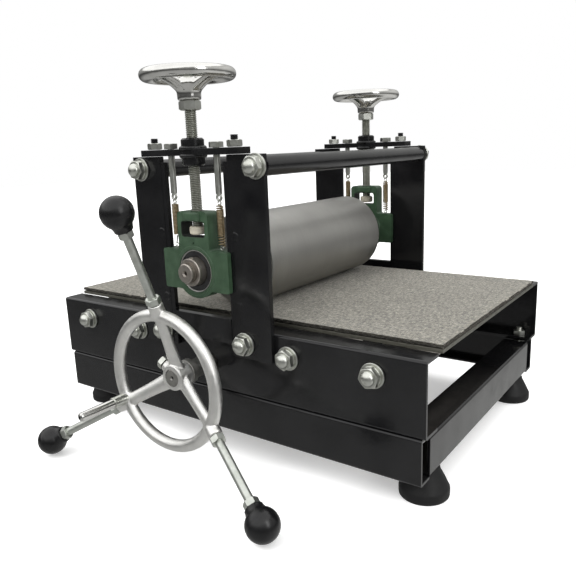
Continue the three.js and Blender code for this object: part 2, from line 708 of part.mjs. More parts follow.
place(
  "bed_plate",
  block([-BED_HALF_X, -BED_HALF_Y, PLATE_Z], [BED_HALF_X, BED_HALF_Y, PLATE_Z + PLATE_THICK]),
  bedBoard,
);
place(
  "bed_felt",
  block(
    [-BED_HALF_X - FELT_OVER, -BED_HALF_Y - FELT_OVER, FELT_Z],
    [BED_HALF_X + FELT_OVER, BED_HALF_Y + FELT_OVER, FELT_Z + FELT_THICK],
  ),
  feltWool,
);
place("upper_roller", upperRollerSolid(), groundSteel);
place("lower_roller", lowerRollerSolid(), groundSteel);
place("crank_wheel", crankWheelSolid(), polished);
HANDLE_ANGLES.forEach((angle, i) => {
  place("handle_rod_" + (i + 1), handleRodSolid(angle), zinc);
  place("handle_knob_" + (i + 1), knobSolid(angle), phenolic);
});
place("crank_peg", pegSolid(), chrome);

const group = new THREE.Group();
group.add(press);

export default group;
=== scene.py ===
"""The looks of a tabletop etching press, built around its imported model.

Pieces are drawn in millimetres in the press's own frame, where y = 0 is the middle plane
between the rails, and are moved into the row frame, in metres, when they become objects.
"""

import math

import bmesh
import bpy
from mathutils import Matrix, Vector, noise


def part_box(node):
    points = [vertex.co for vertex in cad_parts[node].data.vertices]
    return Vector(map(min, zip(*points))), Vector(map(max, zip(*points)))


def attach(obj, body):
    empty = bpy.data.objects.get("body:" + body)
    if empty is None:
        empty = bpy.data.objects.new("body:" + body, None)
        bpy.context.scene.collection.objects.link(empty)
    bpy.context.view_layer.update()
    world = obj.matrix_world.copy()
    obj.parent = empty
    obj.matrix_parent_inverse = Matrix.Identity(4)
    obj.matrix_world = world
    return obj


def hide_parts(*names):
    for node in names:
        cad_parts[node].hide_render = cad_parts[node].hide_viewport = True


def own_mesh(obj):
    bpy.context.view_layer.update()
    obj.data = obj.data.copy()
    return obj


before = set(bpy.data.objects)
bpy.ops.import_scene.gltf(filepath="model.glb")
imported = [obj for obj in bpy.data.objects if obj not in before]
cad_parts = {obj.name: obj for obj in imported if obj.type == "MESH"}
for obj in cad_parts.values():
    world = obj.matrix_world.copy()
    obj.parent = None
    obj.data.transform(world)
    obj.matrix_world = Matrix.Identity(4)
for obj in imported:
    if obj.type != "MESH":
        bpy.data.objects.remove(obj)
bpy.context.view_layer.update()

MM = 1000.0
ZERO = 1e-6
MID_Y = (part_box("rail_near")[0].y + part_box("rail_far")[1].y) / 2
TO_ROW = Matrix.Translation((0, MID_Y, 0)) @ Matrix.Scale(1 / MM, 4)
AXIS_X, AXIS_Y, AXIS_Z = Vector((1, 0, 0)), Vector((0, 1, 0)), Vector((0, 0, 1))
SIDES = {"near": -1, "far": 1}
ENDS = {"left": -1, "right": 1}
CORNERS = [(f"{side}_{end}", sx, sy) for side, sy in SIDES.items() for end, sx in ENDS.items()]


def box(node):
    """A CAD node's lowest and highest corner, in millimetres in the press's frame."""
    shift = Vector((0, MID_Y, 0))
    return [(corner - shift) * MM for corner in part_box(node)]


def middle(node):
    low, high = box(node)
    return (low + high) / 2


# ---- mesh building ----


def to_mesh(bm, name):
    """Turns a shape into a mesh and frees the shape."""
    mesh = bpy.data.meshes.new(name)
    bm.to_mesh(mesh)
    bm.free()
    return mesh


def to_scene(data, name):
    """A new object in the scene."""
    obj = bpy.data.objects.new(name, data)
    bpy.context.scene.collection.objects.link(obj)
    return obj


def join(*parts):
    """One bmesh that holds all the shells."""
    whole = bmesh.new()
    for part in parts:
        mesh = to_mesh(part, "part")
        whole.from_mesh(mesh)
        bpy.data.meshes.remove(mesh)
    return whole


def placed(bm, axis=AXIS_Z, origin=(0, 0, 0), spin=0.0):
    """Turns a shape drawn along +Z so that it runs along axis from origin."""
    turn = AXIS_Z.rotation_difference(Vector(axis)).to_matrix().to_4x4()
    bm.transform(Matrix.Translation(origin) @ turn @ Matrix.Rotation(spin, 4, "Z"))
    return bm


def mirrored(bm, x=1, y=1):
    """Mirrors a shape across the middle planes."""
    bm.transform(Matrix.Diagonal((x, y, 1, 1)))
    if x * y < 0:
        bmesh.ops.reverse_faces(bm, faces=bm.faces)
    return bm


def skin(rings, closed=False):
    """Joins rings of points with faces. A ring of one point is a pole.
    closed joins the last ring to the first."""
    bm = bmesh.new()
    made = [[bm.verts.new(p) for p in ring] for ring in rings]
    sides = max(len(ring) for ring in made)
    pairs = list(zip(made, made[1:]))
    if closed:
        pairs.append((made[-1], made[0]))
    for a, b in pairs:
        for i in range(sides):
            j = (i + 1) % sides
            corners = [a[i % len(a)], a[j % len(a)], b[j % len(b)], b[i % len(b)]]
            corners = list(dict.fromkeys(corners))
            if len(corners) > 2:
                bm.faces.new(corners)
    bmesh.ops.recalc_face_normals(bm, faces=bm.faces)
    return bm


def circle(radius, z, sides):
    """A ring of points, or one point where the radius is nought."""
    if radius < ZERO:
        return [(0, 0, z)]
    turns = [2 * math.pi * i / sides for i in range(sides)]
    return [(radius * math.cos(a), radius * math.sin(a), z) for a in turns]


def lathe(points, axis=AXIS_Z, origin=(0, 0, 0), sides=48):
    """A turned solid. points are (radius, distance along the axis).
    They run from the axis to the axis, or round a ring."""
    closed = points[0][0] > ZERO
    return placed(skin([circle(r, z, sides) for r, z in points], closed), axis, origin)


def tube_outline(bore, radius, low, high, edge):
    """The outline of a ring whose outer edges are chamfered."""
    outline = [(bore, low), (radius - edge, low), (radius, low + edge)]
    return outline + [(radius, high - edge), (radius - edge, high), (bore, high)]


def rod(radius, low, high, axis=AXIS_Z, origin=(0, 0, 0), sides=32, chamfer=0.0):
    """A round bar between two distances along its axis."""
    points = tube_outline(0, radius, low, high, chamfer)
    if not chamfer:
        points = [(0, low), (radius, low), (radius, high), (0, high)]
    return lathe(points, axis, origin, sides)


def slab(low, high):
    """A box from its two corners."""
    bm = bmesh.new()
    bmesh.ops.create_cube(bm, size=1)
    size = [h - l for l, h in zip(low, high)]
    centre = [(h + l) / 2 for l, h in zip(low, high)]
    bm.transform(Matrix.Translation(centre) @ Matrix.Diagonal((*size, 1)))
    return bm


def nut(flats, low, high, axis=AXIS_Z, origin=(0, 0, 0), spin=0.0, sides=48, ends=(1, 1)):
    """A hexagon with its corners turned off at the ends that are marked 1."""
    flat = flats / 2
    face = flat * 0.97
    slope = math.tan(math.radians(32))
    rings = [[(0, 0, low)], circle(face, low, sides)]
    for z, sign, cut in ((low, 1, ends[0]), (high, -1, ends[1])):
        ring = []
        for i in range(sides):
            turn = 2 * math.pi * i / sides
            wedge = (turn + math.pi / 6) % (math.pi / 3) - math.pi / 6
            reach = flat / math.cos(wedge)
            drop = (reach - face) * slope if cut else 0.05
            ring.append((reach * math.cos(turn), reach * math.sin(turn), z + sign * drop))
        rings.append(ring)
    rings += [circle(face, high, sides), [(0, 0, high)]]
    return placed(skin(rings), axis, origin, spin)


def thread(radius, pitch, low, high, axis=AXIS_Z, origin=(0, 0, 0), sides=24, steps=8):
    """A screw thread with a closed end at each side. Its flanks take up most of each turn."""
    depth = 0.55 * pitch
    flank = 1.35
    count = round((high - low) / pitch * steps)
    rings = [[(0, 0, low)]]
    for row in range(count + 1):
        z = low + (high - low) * row / count
        ring = []
        for i in range(sides):
            phase = (z / pitch - i / sides) % 1
            r = radius - depth * min(1, flank * abs(2 * phase - 1))
            turn = 2 * math.pi * i / sides
            ring.append((r * math.cos(turn), r * math.sin(turn), z))
        rings.append(ring)
    rings.append([(0, 0, high)])
    return placed(skin(rings), axis, origin)


def sweep(path, radii, sides=12, closed=False, across=None):
    """A bar along a path. radii is one radius, or one (half width, half height) for each point,
    where the width lies along the direction given as across."""
    path = [Vector(p) for p in path]
    count = len(path)
    rings = []
    normal = None
    for i, point in enumerate(path):
        ahead = path[(i + 1) % count] if closed or i + 1 < count else point
        behind = path[i - 1] if closed or i else point
        along = (ahead - behind).normalized()
        if across is not None:
            normal = (Vector(across) - along * along.dot(Vector(across))).normalized()
        elif normal is None:
            normal = along.orthogonal().normalized()
        else:
            normal = (normal - along * along.dot(normal)).normalized()
        other = along.cross(normal)
        wide, high = radii[i] if isinstance(radii, list) else (radii, radii)
        turns = [2 * math.pi * k / sides for k in range(sides)]
        rings.append([point + normal * wide * math.cos(a) + other * high * math.sin(a) for a in turns])
    if not closed:
        rings = [[path[0]], *rings, [path[-1]]]
    return skin(rings, closed)


def ring(radius, tube, axis, origin, sides=96, around=20):
    """A torus."""
    turns = [2 * math.pi * i / sides for i in range(sides)]
    path = [(radius * math.cos(a), radius * math.sin(a), 0) for a in turns]
    return placed(sweep(path, tube, around, closed=True), axis, origin)


def arc(x, z, radius, start, end, steps=8):
    """Points on an arc in a plane, with its angles in degrees."""
    turns = [math.radians(start + (end - start) * i / steps) for i in range(steps + 1)]
    return [(x + radius * math.cos(a), z + radius * math.sin(a)) for a in turns]


def rounded(low, high, radius):
    """The outline of a rectangle with round corners."""
    (x0, z0), (x1, z1) = low, high
    outline = arc(x1 - radius, z0 + radius, radius, -90, 0)
    outline += arc(x1 - radius, z1 - radius, radius, 0, 90)
    outline += arc(x0 + radius, z1 - radius, radius, 90, 180)
    return outline + arc(x0 + radius, z0 + radius, radius, 180, 270)


def plate(outlines, low, high):
    """A plate in the XZ plane from y = low to y = high. The outlines after the first one are holes."""
    bm = bmesh.new()
    edges = []
    for outline in outlines:
        verts = [bm.verts.new((x, low, z)) for x, z in outline]
        edges += [bm.edges.new((a, b)) for a, b in zip(verts, verts[1:] + verts[:1])]
    bmesh.ops.triangle_fill(bm, edges=edges, use_beauty=True)
    made = bmesh.ops.extrude_face_region(bm, geom=bm.faces[:])
    moved = [g for g in made["geom"] if isinstance(g, bmesh.types.BMVert)]
    bmesh.ops.translate(bm, verts=moved, vec=(0, high - low, 0))
    bmesh.ops.recalc_face_normals(bm, faces=bm.faces)
    return bm


def evaluated(bm, change):
    """The shape after change(object) has given it modifiers."""
    obj = to_scene(to_mesh(bm, "work"), "work")
    extra = change(obj)
    bpy.context.view_layer.update()
    result = bmesh.new()
    result.from_object(obj, bpy.context.evaluated_depsgraph_get())
    for o in [obj, *(extra or [])]:
        bpy.data.objects.remove(o)
    return result


def cut(bm, *tools):
    """bm with the other shapes cut out of it."""

    def add(obj):
        tool = to_scene(to_mesh(join(*tools), "tool"), "tool")
        modifier = obj.modifiers.new("cut", "BOOLEAN")
        modifier.operation = "DIFFERENCE"
        modifier.solver = "EXACT"
        modifier.object = tool
        return [tool]

    made = evaluated(bm, add)
    bmesh.ops.dissolve_limit(made, angle_limit=math.radians(1), verts=made.verts, edges=made.edges)
    return made


def cast(bm, grain, passes):
    """Melts the shells of a casting into one skin with soft fillets. grain is the voxel size."""

    def add(obj):
        melt = obj.modifiers.new("melt", "REMESH")
        melt.mode = "VOXEL"
        melt.voxel_size = grain
        soften = obj.modifiers.new("soften", "SMOOTH")
        soften.factor = 0.5
        soften.iterations = passes

    return evaluated(bm, add)


def from_cad(node):
    """A CAD node's shape as clean faces."""
    bm = bmesh.new()
    bm.from_mesh(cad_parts[node].data)
    bm.transform(TO_ROW.inverted())
    bmesh.ops.remove_doubles(bm, verts=bm.verts, dist=0.01)
    bmesh.ops.dissolve_limit(bm, angle_limit=math.radians(1), verts=bm.verts, edges=bm.edges)
    return bm


def soften_edges(bm, size, limit=40, segments=2):
    """Rounds every edge that is sharper than the limit, in degrees."""
    sharp = [e for e in bm.edges if len(e.link_faces) == 2 and e.calc_face_angle() > math.radians(limit)]
    bmesh.ops.bevel(
        bm, geom=sharp, offset=size, segments=segments, profile=0.5, affect="EDGES", clamp_overlap=True
    )
    return bm


def piece(name, bm, slot, body, replaces=(), smooth=32, weighted=True, material=None, second=None):
    """Makes the shape an object in the row frame that rides on a body and takes its finish from a slot.
    material is another material to show than the slot's, and second is that of the faces marked 1."""
    mesh = to_mesh(bm, name)
    mesh.transform(TO_ROW)
    mesh.materials.append(MATERIALS[material or slot])
    if second:
        mesh.materials.append(MATERIALS[second])
    mesh.polygons.foreach_set("use_smooth", [True] * len(mesh.polygons))
    mesh.set_sharp_from_angle(angle=math.radians(smooth))
    obj = to_scene(mesh, name)
    if weighted:
        flatten = obj.modifiers.new("flat_faces", "WEIGHTED_NORMAL")
        flatten.keep_sharp = True
    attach(obj, body)
    if replaces:
        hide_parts(*replaces)
    return obj


# ---- materials ----


class Nodes:
    """Helpers that add nodes to a node tree."""

    def __init__(self, owner):
        owner.use_nodes = True
        self.tree = owner.node_tree

    def node(self, kind, **values):
        """A new node. Each value is for the attribute or the input of that name."""
        made = self.tree.nodes.new(kind)
        for key, value in values.items():
            if hasattr(made, key):
                setattr(made, key, value)
            else:
                made.inputs[key.replace("_", " ")].default_value = value
        return made

    def link(self, source, target):
        self.tree.links.new(source, target)

    def feed(self, target, value):
        """Gives an input a socket, a colour or a number."""
        if isinstance(value, bpy.types.NodeSocket):
            self.link(value, target)
        else:
            target.default_value = (*value, 1) if isinstance(value, tuple) else value

    def ramp(self, value, *stops):
        """Maps a value through (position, colour or number) stops."""
        made = self.node("ShaderNodeValToRGB")
        elements = made.color_ramp.elements
        while len(elements) < len(stops):
            elements.new(0.5)
        for element, (position, color) in zip(elements, stops):
            element.position = position
            element.color = (*color, 1) if isinstance(color, tuple) else (color, color, color, 1)
        self.link(value, made.inputs["Fac"])
        return made.outputs["Color"]


class Finish(Nodes):
    """A material around one Principled shader, with helpers for its patterns. Lengths are in metres."""

    def __init__(self, name, color, roughness, metallic=0.0, **sockets):
        self.material = bpy.data.materials.new(name)
        super().__init__(self.material)
        self.shader = self.tree.nodes["Principled BSDF"]
        self.set("Base Color", (*color, 1))
        self.set("Roughness", roughness)
        self.set("Metallic", metallic)
        for socket, value in sockets.items():
            self.set(socket.replace("_", " "), value)
        self.height = None

    def set(self, socket, value):
        self.shader.inputs[socket].default_value = value

    def noise(self, size, detail=3, stretch=(1, 1, 1), turn=0, rough=0.5):
        """Noise whose lumps are about size metres across. turn is in degrees, about Z."""
        where = self.node("ShaderNodeTexCoord").outputs["Object"]
        mapping = self.node("ShaderNodeMapping", Scale=stretch, Rotation=(0, 0, math.radians(turn)))
        made = self.node("ShaderNodeTexNoise", Scale=1 / size, Detail=detail, Roughness=rough)
        self.link(where, mapping.inputs["Vector"])
        self.link(mapping.outputs["Vector"], made.inputs["Vector"])
        return made.outputs["Fac"]

    def mix(self, amount, a, b, mode="MIX"):
        """Mixes two colours, each a socket or a plain colour, by a socket or a number."""
        made = self.node("ShaderNodeMix", data_type="RGBA", blend_type=mode)
        for number, value in ((0, amount), (6, a), (7, b)):
            self.feed(made.inputs[number], value)
        return made.outputs[2]

    def larger(self, *values):
        made = self.node("ShaderNodeMath", operation="MAXIMUM")
        for target, value in zip(made.inputs, values):
            self.feed(target, value)
        return made.outputs[0]

    def color(self, socket):
        self.link(socket, self.shader.inputs["Base Color"])
        return self

    def roughness(self, value, low, high):
        self.link(self.ramp(value, (0.3, low), (0.7, high)), self.shader.inputs["Roughness"])
        return self

    def bump(self, value, depth, strength=1.0):
        """Adds relief that is depth metres high, on top of any relief already there."""
        made = self.node("ShaderNodeBump", Distance=depth, Strength=strength)
        self.link(value, made.inputs["Height"])
        if self.height is not None:
            self.link(self.height, made.inputs["Normal"])
        self.height = made.outputs["Normal"]
        self.link(self.height, self.shader.inputs["Normal"])
        return self


def gloss_paint():
    """Black enamel that lies a little wavy on its sheet steel."""
    f = Finish("gloss_black_paint", (0.005, 0.005, 0.0055), 0.15, Specular_IOR_Level=0.45)
    cloud = f.noise(0.05, 4)
    f.color(f.ramp(cloud, (0.3, (0.0035, 0.0035, 0.004)), (0.75, (0.008, 0.008, 0.0085))))
    f.roughness(f.noise(0.02, 5), 0.10, 0.26)
    f.bump(f.noise(0.02, 2), 0.0004, 0.5)
    return f.bump(f.noise(0.004, 2), 0.00006, 0.5).material


def metal(name, dark, light, roughness, patch, grain=0.0):
    """A bare or plated metal whose colour and gloss drift in patches."""
    f = Finish(name, light, roughness[0], 1.0)
    cloud = f.noise(patch, 4)
    f.color(f.ramp(cloud, (0.3, dark), (0.7, light)))
    f.roughness(f.noise(patch / 3, 4), *roughness)
    if grain:
        f.bump(f.noise(patch / 6, 4), grain)
    return f.material


def green_paint():
    """Thin green paint over the rough skin of a casting."""
    f = Finish("green_casting", (0.033, 0.068, 0.035), 0.42, Specular_IOR_Level=0.4)
    dark, mid, light = (0.018, 0.040, 0.020), (0.029, 0.059, 0.031), (0.044, 0.080, 0.046)
    f.color(f.ramp(f.noise(0.01, 5), (0.25, dark), (0.55, mid), (0.8, light)))
    f.roughness(f.noise(0.004, 4), 0.34, 0.55)
    f.bump(f.noise(0.0035, 4), 0.0004, 0.6)
    return f.bump(f.noise(0.0007, 3), 0.00008, 0.6).material


def ground_roller():
    """Steel with the fine rings that turning and grinding leave."""
    f = Finish("ground_steel", (0.33, 0.325, 0.31), 0.6, 0.92)
    rings = f.noise(0.0014, 5, (0.02, 1, 0.02))
    cloud = f.noise(0.05, 3)
    tone = f.ramp(cloud, (0.3, (0.34, 0.335, 0.32)), (0.75, (0.41, 0.405, 0.385)))
    f.color(f.mix(0.25, tone, f.ramp(rings, (0.35, (0.30, 0.295, 0.28)), (0.65, (0.44, 0.435, 0.415)))))
    f.roughness(rings, 0.40, 0.50)
    return f.bump(rings, 0.00001, 0.5).material


def wool_felt():
    """Flecked grey wool with strands pressed together at three angles."""
    f = Finish("wool_felt", (0.33, 0.31, 0.27), 1.0, Specular_IOR_Level=0.2, Sheen_Weight=0.25)
    f.set("Sheen Roughness", 0.6)
    fleck = f.noise(0.0034, 5, rough=0.85)
    strands = [f.noise(0.0022, 4, (1, 0.35, 1), turn, 0.8) for turn in (20, -55, 80)]
    woven = f.larger(f.larger(strands[0], strands[1]), strands[2])
    dark, mid, light = (0.03, 0.028, 0.024), (0.195, 0.183, 0.148), (0.53, 0.50, 0.415)
    wool = f.ramp(fleck, (0.38, dark), (0.5, mid), (0.62, light))
    dark, mid, light = (0.04, 0.038, 0.033), (0.21, 0.195, 0.158), (0.58, 0.55, 0.45)
    hairs = f.ramp(woven, (0.5, dark), (0.6, mid), (0.7, light))
    tone = f.mix(0.5, wool, hairs)
    shade = f.ramp(f.noise(0.03, 4), (0.3, 0.6), (0.7, 1.0))
    f.color(f.mix(0.45, tone, shade, "MULTIPLY"))
    f.bump(fleck, 0.0016, 0.8)
    return f.bump(woven, 0.0012, 0.7).material


def bed_board():
    """A dark board, seen at its edges only."""
    f = Finish("bed_board", (0.12, 0.115, 0.095), 0.5, Specular_IOR_Level=0.35)
    grain = f.noise(0.0009, 4, (0.1, 0.1, 1))
    f.color(f.ramp(grain, (0.3, (0.045, 0.044, 0.036)), (0.7, (0.095, 0.092, 0.076))))
    f.roughness(f.noise(0.006, 4), 0.4, 0.6)
    return f.bump(grain, 0.0001, 0.5).material


def shaded_felt_edge():
    """The cut edge of the felt, with its layers of darker fibre, and darker overall as painted shade on
    the sheet's sides.
    """
    f = Finish("shaded_felt_edge", (0.08, 0.075, 0.065), 1.0, Specular_IOR_Level=0.1)
    layers = f.noise(0.0018, 4, (0.5, 0.5, 1.6), rough=0.7)
    dark, mid, light = (0.018, 0.017, 0.015), (0.05, 0.047, 0.041), (0.13, 0.123, 0.105)
    f.color(f.ramp(layers, (0.35, dark), (0.55, mid), (0.7, light)))
    return f.bump(layers, 0.0012, 0.8).material


def moulded(name, color, roughness, grain):
    """Plastic, rubber, or the near-black colour painted as shade inside the housings' windows."""
    f = Finish(name, color, roughness[0], Specular_IOR_Level=0.42)
    cloud = f.noise(0.009, 4)
    dark, light = (tuple(c * share for c in color) for share in (0.75, 1.3))
    f.color(f.ramp(cloud, (0.3, dark), (0.7, light)))
    f.roughness(cloud, *roughness)
    return f.bump(f.noise(0.0012, 3), grain, 0.5).material


# Each metal is its dark and light colour, its roughness range, the size of its patches and its relief.
METALS = {
    "zinc_plate": ((0.54, 0.55, 0.50), (0.70, 0.71, 0.67), (0.28, 0.40), 0.007),
    "polished_steel": ((0.80, 0.795, 0.775), (0.91, 0.905, 0.88), (0.36, 0.52), 0.012, 0.00004),
    "chrome_plate": ((0.60, 0.595, 0.575), (0.70, 0.695, 0.675), (0.10, 0.20), 0.015, 0.00001),
    "bare_steel": ((0.36, 0.33, 0.295), (0.52, 0.48, 0.44), (0.36, 0.52), 0.006, 0.00001),
    "bearing_steel": ((0.74, 0.73, 0.71), (0.84, 0.83, 0.81), (0.4, 0.55), 0.005),
    "spring_wire": ((0.25, 0.19, 0.11), (0.42, 0.34, 0.22), (0.34, 0.48), 0.003),
    "handle_rod_plate": ((0.50, 0.52, 0.48), (0.64, 0.66, 0.62), (0.34, 0.46), 0.007),
    # painted shade: a darker zinc for the thread's valleys, where shade falls
    "thread_root_painted_shade": ((0.21, 0.21, 0.18), (0.33, 0.33, 0.29), (0.5, 0.65), 0.004),
    "crank_shaft": ((0.27, 0.265, 0.25), (0.40, 0.395, 0.375), (0.38, 0.52), 0.008, 0.00001),
}
# Each moulding is its colour, its roughness range and its relief.
MOULDINGS = {
    "black_phenolic": ((0.004, 0.004, 0.0045), (0.24, 0.38), 0.00002),
    "black_rubber": ((0.004, 0.004, 0.0045), (0.5, 0.7), 0.00008),
    "bearing_seal": ((0.014, 0.014, 0.015), (0.3, 0.45), 0.00003),
    # painted shade: near black for the inside walls of the housings' windows, where shade falls
    "window_painted_shade": ((0.010, 0.012, 0.010), (0.6, 0.8), 0.0001),
    "screw_collar": ((0.33, 0.305, 0.245), (0.35, 0.5), 0.00003),
}
MATERIALS = {name: metal(name, *values) for name, values in METALS.items()}
MATERIALS |= {name: moulded(name, *values) for name, values in MOULDINGS.items()}
MATERIALS |= {
    "gloss_black_paint": gloss_paint(),
    "green_casting": green_paint(),
    "ground_steel": ground_roller(),
    "wool_felt": wool_felt(),
    "bed_board": bed_board(),
    "shaded_felt_edge": shaded_felt_edge(),
}


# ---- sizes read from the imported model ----

SIDE_Y = box("base_side_far")[1].y
FRAME_Y = middle("pressure_screw_far").y
UPRIGHT = box("upright_near_right")
BRIDGE = box("top_plate_near")
HOUSING = box("takeup_housing_near")
BEARING = middle("bearing_near")
UPPER = box("upper_roller")
LOWER_Z = middle("lower_roller").z
CRANK = box("crank_wheel")
PEG = box("crank_peg")

# ---- sizes that several pieces share ----

GAP = 0.3
INNER_Y = SIDE_Y - 3.3
UPRIGHT_THICK = 6
BAR_TOP = UPRIGHT[1].z - 18.5
PLATE_LOW = BAR_TOP + GAP
PLATE_TOP = PLATE_LOW + 6.5
TIE_RADIUS = 9.7
WASHER = 12.0
BOLT = 6.0
STUD_X = 54.4
SHAFT = 10.0
WINDOW_HALF = 16
WINDOW_Z = (BEARING.z + 35, BEARING.z + 51)
BORE = 22.1
SEAL_OUTER, SEAL_INNER, RACE = 20.9, 14.65, 14.4


# ---- fasteners ----


def dome_nut(x, y, z, axis, spin):
    """A washer, a spring washer, a hexagon and its dome, outwards from a face."""
    origin = (x, y, z)
    hex_start, hex_end, cap, rise = 4.7, 10.2, 7.1, 5.4
    base = hex_end + 0.4
    points = [(0, hex_end - 0.6), (cap, hex_end - 0.6)]
    for i in range(12):
        a = math.radians(7.5 * i)
        points.append((cap * math.cos(a), base + rise * math.sin(a)))
    points.append((0, base + rise))
    outlines = [tube_outline(3, WASHER, GAP, 2.6, 0.4), tube_outline(3, 9.7, 2.7, 4.6, 0.4), points]
    hexagon = hex_head(18, hex_start, hex_end, axis, origin, spin)
    return join(*[lathe(outline, axis, origin, 40) for outline in outlines], hexagon)


def dome_nuts(name, places, body):
    """Domed nuts of one kind. places are (x, y of the face they sit on, z)."""
    parts = []
    for i, (x, face, z) in enumerate(places):
        side = math.copysign(1, face)
        parts.append(dome_nut(x, face, z, AXIS_Y * side, 0.35 + 0.9 * i))
    return piece(name, join(*parts), "zinc_plate", body)


def hex_head(flats, low, high, axis, origin, spin):
    """A bolt's head, flat where it meets its seat."""
    return nut(flats, low, high, axis, origin, spin, ends=(0, 1))


# ---- frame ----


def channels():
    names = [f"{part}_{side}" for part in ("rail", "base_side") for side in SIDES]
    for name in [*names, "base_end_left", "base_end_right"]:
        shape = soften_edges(from_cad(name), 0.5)
        piece(name + "_channel", shape, "gloss_black_paint", "frame", [name])


def corner_bolts():
    """Bolts that hold each rail down on its base channel."""
    top = box("base_side_near")[1].z
    from_middle, from_face = 231, 14
    for side, sy in SIDES.items():
        parts = []
        for sx in ENDS.values():
            at = (sx * from_middle, sy * (SIDE_Y - from_face), 0)
            parts.append(hex_head(13, top + 3.4, top + 8.5, AXIS_Z, at, 0.4))
            parts.append(thread(4, 1.25, top + 3, top + 13, AXIS_Z, at, 16, 6))
            parts.append(nut(13, top - 10, top - 3.4, AXIS_Z, at, 0.1))
        piece(f"corner_bolts_{side}", join(*parts), "zinc_plate", "frame")


def feet():
    """Turned feet. Each step is how far in from the widest radius it lies, and its height."""
    steps = [(4, 0.6), (3, 0), (1.2, 0), (0.2, 1.2), (0, 3), (0, 8.5)]
    steps += [(0.8, 10), (3.5, 16), (6.5, 22), (9, 26.5)]
    for corner, _, _ in CORNERS:
        name = f"foot_{corner}"
        low, high = box(name)
        radius = (high.x - low.x) / 2
        at = ((low.x + high.x) / 2, (low.y + high.y) / 2, 0)
        outline = [(radius - inset, z) for inset, z in [*steps, (9.4, high.z - 1.2), (10.4, high.z)]]
        shape = lathe([(0, 0.6), *outline, (0, high.z)], AXIS_Z, at, 72)
        piece(name + "_rubber", shape, "black_rubber", "frame", [name], 40)


def uprights():
    """Flat bars, each with its guide strip for the housing and the sunk screws that hold the strip."""
    outer, inner = -SIDE_Y - UPRIGHT_THICK, -SIDE_Y - GAP
    head = [(0, 0.1), (2.3, 0.1), (2.5, 0.55), (4.0, 0.55), (4.6, 0.1), (4.6, -0.5), (0, -0.5)]
    strip_width, screw_inset, screw_heights = 5.7, 5.5, (172, 242)
    for corner, sx, sy in CORNERS:
        name = f"upright_{corner}"
        low, high = box(name)
        near, far = sorted((abs(low.x), abs(high.x)))
        root = near + strip_width
        bar = slab((root, outer, low.z), (far, inner, BAR_TOP))
        strip = slab((near, outer + 0.5, low.z), (root + 0.3, inner - 0.2, BAR_TOP - 6))
        screws = [lathe(head, -AXIS_Y, (root + screw_inset, outer, z), 24) for z in screw_heights]
        shape = join(soften_edges(bar, 0.45), soften_edges(strip, 0.35), *screws)
        piece(name + "_bar", mirrored(shape, sx, -sy), "gloss_black_paint", "frame", [name])


def top_plates():
    low, high = BRIDGE
    bush_radius, bush_bore, half_width = 11.5, 6.2, 10
    for side, sy in SIDES.items():
        y = sy * FRAME_Y
        strip = slab((low.x, y - half_width, PLATE_LOW), (high.x, y + half_width, PLATE_TOP))
        bush = [(bush_bore, low.z), (9.8, low.z), (bush_radius, low.z + 1.6)]
        bush += [(bush_radius, high.z - 1.6), (9.8, high.z), (bush_bore, high.z)]
        shape = join(soften_edges(strip, 0.5), lathe(bush, AXIS_Z, (0, y, 0), 64))
        piece(f"top_plate_{side}_strip", shape, "gloss_black_paint", "frame", [f"top_plate_{side}"])
        welds = [weld_bead(0, y, z, bush_radius + 0.1) for z in (PLATE_TOP + 0.5, PLATE_LOW - 0.5)]
        piece(f"bush_welds_{side}", join(*welds), "gloss_black_paint", "frame", smooth=60)
        studs = []
        nuts = []
        for sx in ENDS.values():
            at = (sx * STUD_X, y, 0)
            studs.append(thread(3.95, 1.25, PLATE_TOP + 4, UPRIGHT[1].z - 0.2, AXIS_Z, at, 20, 6))
            nuts.append(nut(13, PLATE_TOP + GAP, PLATE_TOP + 6.8, AXIS_Z, at, 0.2 + sx, ends=(1, 1)))
        piece(f"studs_{side}", join(*studs), "gloss_black_paint", "frame")
        piece(f"stud_nuts_{side}", join(*nuts), "zinc_plate", "frame")


def weld_bead(x, y, z, radius, tube=2.3, ripples=34):
    """A fillet weld round a bush, with its ripples."""
    sides = ripples * 4
    path, radii = [], []
    for i in range(sides):
        a = 2 * math.pi * i / sides
        path.append((x + radius * math.cos(a), y + radius * math.sin(a), z))
        wave = abs(math.sin(ripples * a / 2))
        lump = noise.noise(Vector((math.cos(a) * 2, math.sin(a) * 2, z)))
        radii.append((tube * (0.86 + 0.14 * wave + 0.12 * lump),) * 2)
    return sweep(path, radii, 10, closed=True)


def tie_bars():
    face = SIDE_Y + UPRIGHT_THICK
    for end in ENDS:
        at = middle(f"tie_bar_{end}")
        bar = rod(TIE_RADIUS, -SIDE_Y + GAP, SIDE_Y - GAP, AXIS_Y, (at.x, 0, at.z), 64, 0.6)
        piece(f"tie_bar_{end}_tube", bar, "gloss_black_paint", "frame", [f"tie_bar_{end}"])
        dome_nuts(f"tie_bar_nuts_{end}", [(at.x, -face, at.z), (at.x, face, at.z)], "frame")


def upright_bolts():
    """A bolt through each upright's foot, with its head inside the rail and a domed nut outside."""
    for corner, _, sy in CORNERS:
        name = f"upright_bolt_{corner}"
        at = middle(name)
        parts = [
            dome_nut(at.x, sy * (SIDE_Y + UPRIGHT_THICK), at.z, AXIS_Y * sy, at.x),
            hex_head(17, 0, 7.5, AXIS_Y * -sy, (at.x, sy * INNER_Y, at.z), 0.2),
            rod(BOLT, -1, 9.5, AXIS_Y * sy, (at.x, sy * (SIDE_Y - 3), at.z)),
        ]
        piece(name + "_set", join(*parts), "zinc_plate", "frame", [name])


